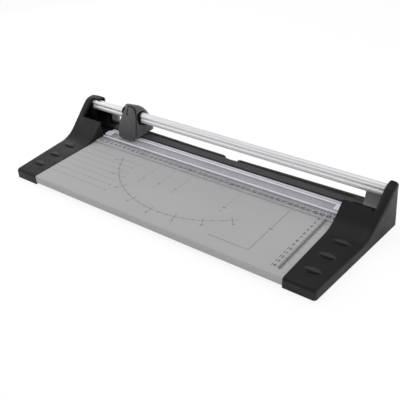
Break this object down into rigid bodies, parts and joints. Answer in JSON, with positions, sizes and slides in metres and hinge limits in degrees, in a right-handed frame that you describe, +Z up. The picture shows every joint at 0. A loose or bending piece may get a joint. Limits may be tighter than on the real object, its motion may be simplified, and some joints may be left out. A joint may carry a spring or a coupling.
{
  "type": "rolling paper trimmer",
  "caption": "Paper trimmer with a steel table between black end caps, a cutting head with a round blade on an aluminium rail, and a clear clamp strip along the cut.",
  "frame": {"origin": "bottom centre of the whole trimmer, on the desk", "axes": "+X along the cut to the right, +Y from front to back, +Z up"},
  "size_m": [0.58, 0.2116, 0.0795],
  "materials": {
    "grey_sheet": "satin",
    "hard_steel": "satin",
    "black_plastic": "fine grain",
    "dark_plastic": "matte",
    "rubber": "matte",
    "rail_aluminium": "anodised satin",
    "clear_plastic": "clear",
    "white_plastic": "smooth",
    "steel_fasteners": "zinc plated"
  },
  "bodies": {
    "base": {"table": "grey_sheet", "lower_knife": "hard_steel", "knife_rivets": "hard_steel", "rear_bar": "black_plastic", "left_end_cap": "black_plastic", "right_end_cap": "black_plastic", "left_base_plate": "dark_plastic", "right_base_plate": "dark_plastic", "left_plate_screws": "steel_fasteners", "right_plate_screws": "steel_fasteners", "front_left_foot": "rubber", "front_right_foot": "rubber", "rear_left_foot": "rubber", "rear_right_foot": "rubber", "guide_rail": "rail_aluminium", "left_rail_holder": "dark_plastic", "right_rail_holder": "dark_plastic", "left_rail_screws": "steel_fasteners", "right_rail_screws": "steel_fasteners", "left_holder_screws": "steel_fasteners", "right_holder_screws": "steel_fasteners", "table_screws": "steel_fasteners", "bar_screws": "steel_fasteners", "left_strip_spring": "steel_fasteners", "right_strip_spring": "steel_fasteners", "left_spring_cup": "steel_fasteners", "right_spring_cup": "steel_fasteners"},
    "clamp": {"clamp_strip": "clear_plastic", "left_strip_end": "clear_plastic", "right_strip_end": "clear_plastic", "left_strip_pin": "steel_fasteners", "right_strip_pin": "steel_fasteners", "left_strip_clip": "steel_fasteners", "right_strip_clip": "steel_fasteners"},
    "head": {"head_front_shell": "black_plastic", "head_rear_shell": "black_plastic", "head_frame": "dark_plastic", "left_glide_bush": "dark_plastic", "right_glide_bush": "dark_plastic", "blade_axle": "steel_fasteners", "blade_washer": "steel_fasteners", "left_roller_pin": "steel_fasteners", "right_roller_pin": "steel_fasteners", "frame_screws": "steel_fasteners", "head_screws": "steel_fasteners"},
    "blade": {"round_blade": "hard_steel"},
    "left_roller": {"left_press_roller": "white_plastic"},
    "right_roller": {"right_press_roller": "white_plastic"}
  },
  "joints": [
    {"name": "head_slide", "type": "slide", "parent": "base", "child": "head", "axis": [1, 0, 0], "range_m": [-0.0185, 0.392]},
    {"name": "blade_spin", "type": "hinge", "parent": "head", "child": "blade", "pos_m": [-0.1805, 0.08475, 0.0295], "axis": [0, 1, 0], "continuous": true},
    {"name": "left_roller_spin", "type": "hinge", "parent": "head", "child": "left_roller", "pos_m": [-0.1905, 0.0809, 0.0245], "axis": [0, 1, 0], "continuous": true},
    {"name": "right_roller_spin", "type": "hinge", "parent": "head", "child": "right_roller", "pos_m": [-0.1705, 0.0809, 0.0245], "axis": [0, 1, 0], "continuous": true},
    {"name": "clamp_press", "type": "slide", "parent": "base", "child": "clamp", "axis": [0, 0, 1], "range_m": [-0.001, 0], "stiffness_N_per_m": 1500, "springref_m": 0.002, "deforming": ["left_strip_spring", "right_strip_spring"]}
  ],
  "couplings": [
    {"joint": "blade_spin", "follows": "head_slide", "rad_per_m": 71.429}
  ]
}
